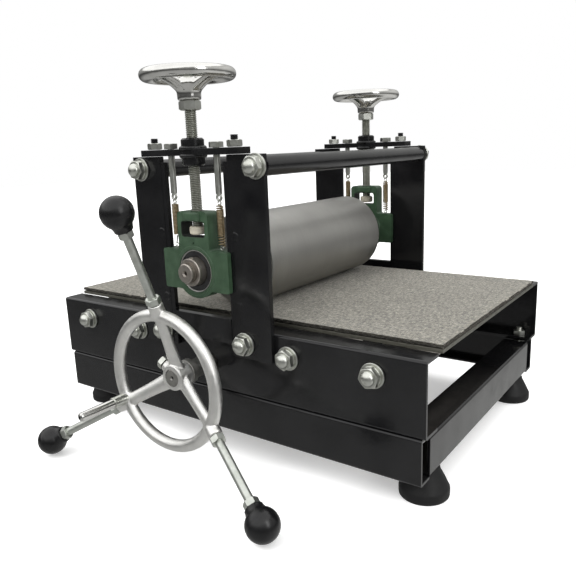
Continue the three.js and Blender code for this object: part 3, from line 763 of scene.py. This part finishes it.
def support_rollers():
    """The rollers under the bed, each on an axle with a domed nut at both ends."""
    for i in range(1, 5):
        at = middle(f"support_axle_{i}")
        parts = [rod(BOLT, -SIDE_Y - 2, SIDE_Y + 2, AXIS_Y, (at.x, 0, at.z))]
        for sy in SIDES.values():
            parts.append(dome_nut(at.x, sy * SIDE_Y, at.z, AXIS_Y * sy, 0.7 * i + sy))
        piece(f"support_axle_{i}_set", join(*parts), "zinc_plate", "frame", [f"support_axle_{i}"])
        low, high = box(f"support_roller_{i}")
        r = (high.z - low.z) / 2
        tube = lathe(tube_outline(BOLT + 0.4, r, low.y, high.y, 1), AXIS_Y, (at.x, 0, at.z), 64)
        piece(f"support_roller_{i}_tube", tube, "bare_steel", f"support_{i}", [f"support_roller_{i}"])


# ---- springs and their hangers ----

HOOK, SPRING_RADIUS, SPRING_WIRE, SPRING_STEPS = 4.2, 3.1, 0.7, 18


def hangers():
    """Bolts that hang from the top plates, flattened at the foot into an eye for a spring."""
    top = PLATE_TOP + GAP
    flat = [(3.3, 3.3), (3.3, 2.5), (3.2, 1.7), (2.6, 1.6)]
    for corner, _, _ in CORNERS:
        name = f"spring_hanger_{corner}"
        low, high = box(name)
        x, y, _ = middle(name)
        eye = low.z + 4
        head = hex_head(13, top, high.z, AXIS_Z, (x, y, 0), 0.3 + x)
        shank = rod(3.3, eye + 3.5, top + 0.5, AXIS_Z, (x, y, 0), 24)
        neck = sweep([(x, y, eye + z) for z in (5.5, 4.2, 3, 2.2)], flat, 16, across=AXIS_X)
        loop = ring(2.7, 1.3, AXIS_Y, (x, y, eye), 28, 12)
        piece(name + "_bolt", join(head, shank, neck, loop), "zinc_plate", "frame", [name], 40)


def spring_path(low, high, pulled_low, pulled_high):
    """A close-wound extension spring along Z, hooked at both ends.
    Each pulled end is the (length, turns) of its open coils."""
    coil_low, coil_high = low + HOOK + pulled_low[0], high - HOOK - pulled_high[0]
    tight = round((coil_high - coil_low) / (2 * SPRING_WIRE))
    stretches = [(low + HOOK, coil_low, pulled_low[1]), (coil_low, coil_high, tight)]
    stretches.append((coil_high, high - HOOK, pulled_high[1]))
    path = []
    for start, end, turns in stretches:
        for i in range(turns * SPRING_STEPS):
            a = 2 * math.pi * i / SPRING_STEPS
            z = start + (end - start) * i / (turns * SPRING_STEPS)
            path.append(Vector((SPRING_RADIUS * math.cos(a), SPRING_RADIUS * math.sin(a), z)))
    return hook(path[0], low, SPRING_RADIUS, -1) + path + hook(path[-1], high, SPRING_RADIUS, 1)[::-1]


def hook(start, end, radius, up):
    """A hook from its far end in to the coil."""
    loop = radius * 0.62
    first, swing, steps = -100, 290, 14
    centre = end - up * loop
    points = []
    for i in range(steps + 1):
        a = math.radians(first + swing * i / steps)
        points.append(Vector((loop * math.sin(a), 0, centre + up * loop * math.cos(a))))
    bend = [Vector((-loop * 0.9, 0, centre - up * loop * 0.8))]
    lead = Vector((start.x * 0.2 - loop * 0.2, start.y * 0.4, start.z + up * 0.9))
    return points + bend + [lead]


def springs():
    """The return springs. Those on the right are pulled open at both ends."""
    for corner, sx, _ in CORNERS:
        name = f"return_spring_{corner}"
        low, high = box(name)
        at = middle(name)
        pulled_low, pulled_high = ((11, 4), (4.5, 2)) if sx > 0 else ((8.5, 0), (0, 0))
        end = high.z + 1.2
        path = spring_path(low.z + 0.3, end, pulled_low, pulled_high)
        wire = sweep([Vector((at.x, at.y, 0)) + p for p in path], SPRING_WIRE, 8)
        brown_from = low.z + (HOOK if sx > 0 else HOOK + pulled_low[0])
        for face in wire.faces:
            height = face.calc_center_median().z
            face.material_index = int(not brown_from < height < end - HOOK)
        coil = name + "_coil"
        obj = piece(coil, wire, "spring_wire", "frame", [name], 60, weighted=False, second="zinc_plate")
        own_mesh(obj)


# ---- take-up housings ----


def housing_outline():
    """A head over two lugs, with a round belly below."""
    low, high = HOUSING
    head = 21
    lug_low, lug_top = BEARING.z - 20, BEARING.z + 21.5
    belly = BEARING.z - low.z
    meet = math.degrees(math.asin((BEARING.z - lug_low) / belly))
    right = arc(high.x - 2, lug_low + 2, 2, -90, 0, 4) + arc(high.x - 2, lug_top - 2, 2, 0, 90, 4)
    right += arc(head + 2.5, lug_top + 2.5, 2.5, -90, -180, 5) + arc(head - 5, high.z - 5, 5, 0, 90, 6)
    left = [(-x, z) for x, z in reversed(right)]
    return right + left + arc(0, BEARING.z, belly, 180 + meet, 360 - meet, 24)


def housing_shape():
    """The casting, with grooves for the guide strips, a swollen head and a rim round the bearing."""
    low, high = HOUSING
    window = rounded((-WINDOW_HALF, WINDOW_Z[0]), (WINDOW_HALF, WINDOW_Z[1]), 3)
    bore = arc(0, BEARING.z, BORE, 0, 360, 72)[:-1]
    body = soften_edges(plate([housing_outline(), window, bore], low.y, high.y), 1.3, 40, 3)
    groove, wall, beyond = 38.2, 5.4, 60
    grooves = [
        slab((groove, low.y + wall, low.z), (beyond, high.y - wall, high.z)),
        slab((-beyond, low.y + wall, low.z), (-groove, high.y - wall, high.z)),
    ]
    dimple = lathe([(0, 0), (1.1, 0), (1.1, 1), (0, 1.6)], AXIS_Y, (0, low.y - 0.1, BEARING.z + 29), 16)
    body = cut(body, *grooves, dimple, screw_hole())
    swell = slab((-11, low.y - 2.4, WINDOW_Z[1] + 0.3), (11, high.y + 2.4, high.z - 0.5))
    swell = cut(soften_edges(swell, 2.3, 40, 4), screw_hole())
    rim = [(BORE, -1), (26.4, -1), (26.4, 0), (25.8, 0.7), (22.8, 0.7), (BORE, 0.2)]
    rims = []
    for sign in (-1, 1):
        face = BEARING.y + sign * (high.y - low.y) / 2
        rims.append(lathe(rim, AXIS_Y * sign, (0, face, BEARING.z), 72))
    return join(body, swell, *rims)


def screw_hole():
    return rod(6.8, BEARING.z + 45, HOUSING[1].z + 5, AXIS_Z, (0, BEARING.y, 0), 32)


def bearing_shapes():
    """Outer ring, seals, and inner ring with its set screw, drawn on the near side."""
    y, z = BEARING.y, BEARING.z
    origin = (0, y, z)
    outer = [(SEAL_OUTER, 0), (21.95, 0), (21.95, 7.9), (21.6, 8.3), (21.2, 8.3), (SEAL_OUTER, 8)]
    seal = [(SEAL_INNER, 0), (SEAL_OUTER, 0), (SEAL_OUTER, 7.0), (20.0, 7.4)]
    seal += [(15.4, 7.4), (14.8, 6.9), (SEAL_INNER, 6.9)]

    def both_faces(outline):
        return join(*[lathe(outline, AXIS_Y * sign, origin, 72) for sign in (-1, 1)])

    bore = SHAFT + 0.15
    collar = [(bore, -8.5), (13.6, -8.5), (RACE, -8), (RACE, 16.6)]
    collar += [(13.7, 17.6), (11.4, 17.9), (bore, 17.4)]
    screw = [(0, 0), (2.4, 0), (2.4, 0.8), (1.3, 0.9), (1.2, 0.2), (0, 0.2)]
    screw = lathe(screw, AXIS_Z, (0, y - 13, z + 14), 20)
    return both_faces(outer), both_faces(seal), join(lathe(collar, -AXIS_Y, origin, 72), screw)


def takeups():
    """The housings, whose window walls are coloured near black as painted shade, and their bearings."""
    margin = 0.2
    for side, sy in SIDES.items():
        name = f"takeup_housing_{side}"
        body = mirrored(housing_shape(), 1, -sy)
        for face in body.faces:
            at = face.calc_center_median()
            across = abs(at.x) < WINDOW_HALF + margin
            level = WINDOW_Z[0] - margin < at.z < WINDOW_Z[1] + margin
            # painted shade: the window's inner walls take the near-black second material
            face.material_index = int(across and level and abs(at.y + sy * BEARING.y) < 6)
        piece(name + "_casting", body, "green_casting", "carriage", [name], 40, second="window_painted_shade")
        outer, seals, inner = [mirrored(shape, 1, -sy) for shape in bearing_shapes()]
        bearing = f"bearing_{side}"
        piece(bearing + "_outer", outer, "bearing_steel", "carriage", [bearing])
        piece(bearing + "_seal", seals, "bearing_steel", "carriage", material="bearing_seal")
        piece(bearing + "_inner", inner, "bare_steel", "pressing_roller")


# ---- rollers and bed ----


def both_ways(outline):
    """A turned outline from half of it, given as (radius, distance from the middle)."""
    return [(r, -y) for r, y in outline] + outline[::-1]


def upper_roller():
    low, high = UPPER
    end = high.y
    face = 120.5
    z = (low.z + high.z) / 2
    r = (high.z - low.z) / 2
    half = [(SHAFT, face - 1.5), (r - 14, face - 1.5), (r - 12.5, face), (r - 1, face), (r, face - 1)]
    drum = lathe(both_ways(half), AXIS_Y, (0, 0, z), 128)
    tip = [(0, end - 9), (1.7, end - 8), (1.9, end - 1.6), (3.2, end), (9, end), (SHAFT, end - 1)]
    tip += [(SHAFT, end - 2.6), (9.1, end - 2.6), (9.1, end - 4), (SHAFT, end - 4)]
    shaft = lathe(both_ways(tip), AXIS_Y, (0, 0, z), 48)
    piece("upper_roller_drum", drum, "ground_steel", "pressing_roller", ["upper_roller"])
    piece("upper_roller_shaft", shaft, "bare_steel", "pressing_roller")


def lower_roller():
    """The driving roller. Its shaft runs out through the near rail to the crank."""
    low, high = box("lower_roller")
    r = (high.z - low.z) / 2
    face = 145
    half = [(SHAFT, face - 1.5), (r - 10, face - 1.5), (r - 9, face), (r - 1, face), (r, face - 1)]
    drum = lathe(both_ways(half), AXIS_Y, (0, 0, LOWER_Z), 128)
    piece("lower_roller_drum", drum, "ground_steel", "crank", ["lower_roller"])
    hub = -CRANK[1].y
    collar, nose, tip = 13, 8.9, 231
    axle = [(0, -SIDE_Y + 3.5), (SHAFT, -SIDE_Y + 3.5), (SHAFT, 204)]
    axle += [(collar - 0.8, 204), (collar, 204.8), (collar, hub - 1), (collar - 0.8, hub - GAP)]
    axle += [(nose, hub - GAP), (nose, tip - 0.7), (nose - 0.8, tip)]
    axle += [(2.6, tip), (1.5, tip - 1.4), (1.4, tip - 6), (0, tip - 7)]
    shaft = lathe(axle, -AXIS_Y, (0, 0, LOWER_Z), 48)
    piece("lower_roller_shaft", shaft, "bare_steel", "crank", material="crank_shaft")
    for side, sy in SIDES.items():
        name = f"lower_bearing_{side}"
        low, high = box(name)
        depth = high.y - low.y
        bore = SHAFT + 0.4
        shape = [(bore, 0), (23.4, 0), (24.4, 1), (24.4, depth - 1), (23.4, depth), (20, depth)]
        shape += [(19.6, depth - 1), (14, depth - 1), (13.6, depth), (bore, depth)]
        bearing = lathe(shape, AXIS_Y * -sy, (0, sy * INNER_Y, LOWER_Z), 64)
        piece(name + "_race", bearing, "bare_steel", "frame", [name])


def bed():
    board = soften_edges(slab(*box("bed_plate")), 0.5)
    piece("bed_plate_board", board, "bed_board", "bed", ["bed_plate"])
    felt()


def felt_point(share, layer, ends):
    """A point of the felt. share is where it lies in the sheet's box.
    ends is the side that it lies on along each axis, as -1, 0 or 1."""
    low, high = box("bed_felt")
    x, y, z = (l + (h - l) * part for l, h, part in zip(low, high, share))
    end_x, end_y, end_z = ends
    at = Vector((x, y, z))
    wave = noise.noise(at / 37) * 0.22 + noise.noise(at / 9) * 0.16
    if end_z > 0:
        z -= 0.35 - wave
    elif end_z < 0 and (end_x or end_y):
        z += 0.7
    coarse = noise.noise(Vector((x / 5, y / 5, layer * 0.9)))
    fine = noise.noise(Vector((x / 1.7, y / 1.7, layer * 3)))
    inset = 0.75 - (0.45 * coarse + 0.3 * fine) + (0.35 if end_z else 0)
    return x - inset * end_x, y - inset * end_y, z


def felt():
    """A pressed felt sheet: its faces undulate a little and its cut edges are uneven."""
    low, high = box("bed_felt")
    step = 4.0
    nx, ny = round((high.x - low.x) / step), round((high.y - low.y) / step)
    layers = 4
    bm = bmesh.new()
    grid = {}

    def point(*place):
        if place not in grid:
            cells = list(zip(place, (nx, ny, layers)))
            share = [i / n for i, n in cells]
            ends = [(i == n) - (i == 0) for i, n in cells]
            grid[place] = bm.verts.new(felt_point(share, place[2], ends))
        return grid[place]

    def sheet_of(a, b, corner):
        for i in range(a):
            for j in range(b):
                bm.faces.new([corner(i, j), corner(i + 1, j), corner(i + 1, j + 1), corner(i, j + 1)])

    for k in (0, layers):
        sheet_of(nx, ny, lambda i, j, k=k: point(i, j, k))
    for i in (0, nx):
        sheet_of(ny, layers, lambda j, k, i=i: point(i, j, k))
    for j in (0, ny):
        sheet_of(nx, layers, lambda i, k, j=j: point(i, j, k))
    bmesh.ops.recalc_face_normals(bm, faces=bm.faces)
    for face in bm.faces:
        # the sides take the darker edge material: partly darker cut fibre, partly painted shade
        face.material_index = int(abs(face.normal.z) < 0.6)
    blanket = "felt_blanket"
    obj = piece(blanket, bm, "wool_felt", "bed", ["bed_felt"], 50, weighted=False, second="shaded_felt_edge")


# ---- screws and handwheels ----


def screws():
    """Each screw's thread, jam nut and end collar, with painted shade: the valleys between its turns are
    coloured darker.
    """
    radius, shade_radius = 6, 5.4
    for side, sy in SIDES.items():
        name, body = f"pressure_screw_{side}", f"screw_{side}"
        low, high = box(name)
        hub = box(f"handwheel_{side}")[0].z
        at = (0, sy * FRAME_Y, 0)
        spindle = join(
            thread(radius, 1.75, low.z + 2, hub - 0.5, AXIS_Z, at),
            rod(radius, hub - 1, high.z - 2, AXIS_Z, at, 32, 0.8),
            nut(19, hub - 9.4, hub - GAP, AXIS_Z, at, 0.2),
        )
        # painted shade: faces deep in the thread's valleys take the darker second material
        for face in spindle.faces:
            face.material_index = int((face.calc_center_median() - Vector(at)).to_2d().length < shade_radius)
        piece(name + "_thread", spindle, "zinc_plate", body, [name], second="thread_root_painted_shade")
        collar = rod(8.8, low.z + 2.2, low.z + 10.4, AXIS_Z, at, 40, 1.2)
        piece(f"end_collar_{side}", collar, "zinc_plate", body, material="screw_collar")
        handwheel(side, at, body)


def handwheel(side, at, body):
    """A dished casting: a hub, three spokes that rise from it, and a round rim."""
    low, high = box(f"handwheel_{side}")
    reach = min(high.x - low.x, high.y - low.y) / 2
    tube, first_spoke = 6.1, 12
    inner, outer = 8, reach - tube
    foot, rim_z = low.z + 12, high.z - tube
    hub = [(0, 0), (11, 0), (11.6, 1), (11.8, 7), (13.4, 11), (15.5, 15), (14, 19), (9, 21.5), (0, 22)]
    hub = lathe([(r, low.z + z) for r, z in hub], AXIS_Z, (0, 0, 0), 48)
    parts = [ring(outer, tube, AXIS_Z, (0, 0, rim_z), 96, 20), hub]
    for k in range(3):
        a = math.radians(first_spoke + 120 * k)
        way = Vector((math.cos(a), math.sin(a), 0))
        path, radii = [], []
        for i in range(11):
            t = i / 10
            rise = 1 - (1 - t) ** 2.2
            out = inner + (outer - inner) * t
            path.append(way * out + AXIS_Z * (foot + (rim_z - foot) * rise))
            radii.append((11 - 7.5 * t + 5.5 * t * t, 5.2 - 1.4 * t))
        parts.append(sweep(path, radii, 16, across=way.cross(AXIS_Z)))
    shape = cast(join(*parts), 0.9, 5)
    shape.transform(Matrix.Translation(at))
    name = f"handwheel_{side}"
    piece(name + "_casting", shape, "chrome_plate", body, [name], 180, weighted=False)
    button = [(0, 0), (6.6, 0), (6.6, 1), (5.6, 2.6), (3, 3.6), (0, 4)]
    button = lathe(button, AXIS_Z, (at[0], at[1], low.z + 21.5), 40)
    piece(name + "_cap", button, "chrome_plate", body)


# ---- crank ----

RING_Y, RING_RADIUS, RING_TUBE = -240.0, 67.5, 6.3
HUB_Y = -223.0
CLAMP_ANGLE, CLAMP_Y = 150, -222
LEAN = math.radians(20.5)
HANDLE_ANGLES = (90, 210, 330)


def radial(angle):
    return Vector((math.cos(math.radians(angle)), 0, math.sin(math.radians(angle))))


def ring_point(angle):
    return radial(angle) * RING_RADIUS + Vector((0, RING_Y, LOWER_Z))


def handle_way(angle):
    """The direction of a handle, which leans out from the wheel."""
    return radial(angle) * math.cos(LEAN) - AXIS_Y * math.sin(LEAN)


def crank_wheel():
    """A cast wheel with a boss for each handle and one for the clamping bolt, and that bolt."""
    centre = Vector((0, 0, LOWER_Z))
    parts = [ring(RING_RADIUS, RING_TUBE, AXIS_Y, (0, RING_Y, LOWER_Z), 128, 24)]
    hub = [(0, 212.4), (12.8, 212.4), (13.6, 213.4), (13.6, 229.8), (12.8, 231), (0, 231)]
    parts.append(lathe(hub, -AXIS_Y, centre, 64))
    inner, outer = 10.5, RING_RADIUS - 1
    for angle in HANDLE_ANGLES:
        way = radial(angle)
        path, radii = [], []
        for i in range(13):
            t = i / 12
            out = inner + (outer - inner) * t
            path.append(centre + way * out + AXIS_Y * (HUB_Y + (RING_Y - HUB_Y) * t))
            radii.append((9.2 - 6.4 * t + 4.6 * t * t, 5.1 - 0.8 * t))
        parts.append(sweep(path, radii, 18, across=way.cross(AXIS_Y)))
        parts.append(rod(7.4, 1, 13.6, handle_way(angle), ring_point(angle), 32, 0.8))
    clamp, clamp_at = radial(CLAMP_ANGLE), centre + AXIS_Y * CLAMP_Y
    parts.append(rod(6.9, 9, 18.6, clamp, clamp_at, 32, 0.8))
    shape = cut(cast(join(*parts), 0.85, 4), rod(9.1, -1, 240, -AXIS_Y, centre, 48))
    piece("crank_wheel_casting", shape, "polished_steel", "crank", ["crank_wheel"], 60, weighted=False)
    head = hex_head(13, 19.5, 25, clamp, clamp_at, 0.2)
    shank = thread(4, 1.25, 17, 20, clamp, clamp_at, 16, 6)
    piece("crank_clamp_bolt", join(head, shank), "zinc_plate", "crank")


def crank_handles():
    """Rods with a lock nut at the wheel and one at the knob."""
    nut_at, knob_nut = 14.0, 86.0
    for number, angle in enumerate(HANDLE_ANGLES, 1):
        way, at = handle_way(angle), ring_point(angle)
        bar = join(
            rod(4.3, 8, 90, way, at, 32),
            nut(13, nut_at, nut_at + 6.8, way, at, 0.4),
            nut(13, knob_nut, knob_nut + 6.5, way, at, 1.1),
        )
        name = f"handle_rod_{number}"
        piece(name + "_bar", bar, "zinc_plate", "crank", [name], material="handle_rod_plate")
        knob(number, way, at)


def knob(number, way, at):
    """A moulded ball with a short neck and the line where its mould halves met."""
    centre, radius, neck, start = 110.5, 15.5, 8.8, 92.8
    seam, seam_depth = (84, 90), 0.18
    points = [(0, start), (neck - 0.7, start), (neck, start + 0.7), (neck + 0.1, start + 2.2)]
    first = math.degrees(math.asin((neck + 1.2) / radius))
    for i in range(41):
        a = first + (180 - first) * i / 40
        r = radius * math.sin(math.radians(a)) if i < 40 else 0
        if seam[0] < a < seam[1]:
            r -= seam_depth
        points.append((r, centre - radius * math.cos(math.radians(a))))
    name = f"handle_knob_{number}"
    ball = lathe(points, way, at, 72)
    piece(name + "_ball", ball, "black_phenolic", "crank", [name], 60, weighted=False)


def crank_peg():
    """The small turning grip, and the pin and spacer that hold it on the ring."""
    low, high = PEG
    x, z = (low.x + high.x) / 2, (low.z + high.z) / 2
    r = (high.x - low.x) / 2
    length = high.y - low.y
    points = [(2.6, 0), (r - 0.6, 0), (r, 0.6), (r, length - 3), (r - 0.8, length - 1)]
    points += [(r - 2.2, length - 0.1), (1.6, length), (1.6, length - 0.8), (2.6, length - 0.8)]
    grip = lathe(points, -AXIS_Y, (x, high.y, z), 40)
    piece("crank_peg_grip", grip, "chrome_plate", "peg", ["crank_peg"])
    on_ring = (x, RING_Y, z)
    pin = rod(2.5, 0, high.y - RING_Y + length - 0.9, -AXIS_Y, on_ring, 20)
    spacer = rod(6, 1, -high.y + RING_Y + 9.4, -AXIS_Y, on_ring, 24, 0.6)
    piece("crank_peg_pin", join(pin, spacer), "zinc_plate", "crank")


# ---- camera, floor and light ----


def camera():
    """The viewpoint. Its place is in the press's frame, and its angles are in radians."""
    place = Vector((443.03, -634.21, 325.42))
    heading, tilt, roll = 0.63017, 0.22414, -0.03774
    focal_share = 618.3 / 576
    level = Vector((math.cos(heading), math.sin(heading), 0))
    ahead = AXIS_Z.cross(level) * math.cos(tilt) - AXIS_Z * math.sin(tilt)
    upright = level.cross(ahead)
    right = level * math.cos(roll) + upright * math.sin(roll)
    up = upright * math.cos(roll) - level * math.sin(roll)
    data = bpy.data.cameras.new("camera")
    data.sensor_width = 36
    data.lens = focal_share * data.sensor_width
    data.clip_start = 0.02
    obj = to_scene(data, "camera")
    turn = Matrix((right, up, -ahead)).transposed().to_4x4()
    obj.matrix_world = Matrix.Translation(TO_ROW @ place) @ turn
    bpy.context.scene.camera = obj


def area_light(name, place, size, power, mirrored_in_metal):
    """A rectangular light that is aimed at the middle of the press."""
    data = bpy.data.lights.new(name, "AREA")
    data.shape = "RECTANGLE"
    data.size, data.size_y = size
    data.energy = power
    obj = to_scene(data, name)
    obj.visible_glossy = mirrored_in_metal
    obj.location = place
    aim = Vector((0, 0, 0.12))
    obj.rotation_mode = "QUATERNION"
    obj.rotation_quaternion = (aim - Vector(place)).to_track_quat("-Z", "Y")


def sky_light(power, spread, lean):
    """Soft light from above. Its angles are in degrees."""
    data = bpy.data.lights.new("sky", "SUN")
    data.energy = power
    data.angle = math.radians(spread)
    to_scene(data, "sky").rotation_euler = [math.radians(a) for a in lean]


def studio_world():
    """White behind the object, and a softer room for it to reflect.
    The room is bright above and below, and dark at the height of the eye."""
    world = bpy.data.worlds.new("studio")
    bpy.context.scene.world = world
    room = Nodes(world)
    soft = room.tree.nodes["Background"]
    where = room.node("ShaderNodeTexCoord").outputs["Generated"]
    split = room.node("ShaderNodeSeparateXYZ")
    room.link(where, split.inputs[0])
    height = room.node("ShaderNodeMapRange", From_Min=-1)
    room.link(split.outputs["Z"], height.inputs["Value"])
    levels = ((0, 0.62), (0.3, 0.56), (0.44, 0.12), (0.5, 0.09), (0.57, 0.38), (0.75, 0.6), (1, 0.36))
    stops = [(position, (level, level, level * 0.98)) for position, level in levels]
    room.link(room.ramp(height.outputs[0], *stops), soft.inputs["Color"])
    toward = room.node("ShaderNodeVectorMath", operation="DOT_PRODUCT")
    toward.inputs[1].default_value = (0.59, 0.81, 0)
    room.link(where, toward.inputs[0])
    brighter = room.node("ShaderNodeMapRange", To_Min=0.75, To_Max=1.5)
    room.link(toward.outputs["Value"], brighter.inputs["Value"])
    room.link(brighter.outputs[0], soft.inputs["Strength"])
    white = room.node("ShaderNodeBackground", Color=(1, 1, 1, 1))
    seen = room.node("ShaderNodeLightPath").outputs["Is Camera Ray"]
    choose = room.node("ShaderNodeMixShader")
    for source, target in zip((seen, soft.outputs[0], white.outputs[0]), choose.inputs):
        room.link(source, target)
    room.link(choose.outputs[0], room.tree.nodes["World Output"].inputs["Surface"])


def floor():
    bm = bmesh.new()
    bmesh.ops.create_grid(bm, x_segments=1, y_segments=1, size=6)
    obj = to_scene(to_mesh(bm, "floor"), "floor")
    obj.visible_glossy = False
    pale = Finish("floor", (0.93, 0.93, 0.93), 0.9, Specular_IOR_Level=0.1, Emission_Strength=0.35)
    pale.set("Emission Color", (1, 1, 1, 1))
    obj.data.materials.append(pale.material)


def studio():
    floor()
    studio_world()
    bpy.context.scene.view_settings.view_transform = "Standard"
    area_light("key", (-0.5, -1.1, 1.5), (1.4, 1.0), 16, False)
    area_light("back", (0.7, 1.3, 1.3), (1.2, 0.8), 10, False)
    area_light("side", (1.5, -0.5, 0.9), (0.5, 1.0), 6, True)
    sky_light(2.6, 120, (12, -10, 0))


channels()
corner_bolts()
feet()
uprights()
top_plates()
tie_bars()
upright_bolts()
support_rollers()
hangers()
springs()
takeups()
upper_roller()
lower_roller()
bed()
screws()
crank_wheel()
crank_handles()
crank_peg()
camera()
studio()
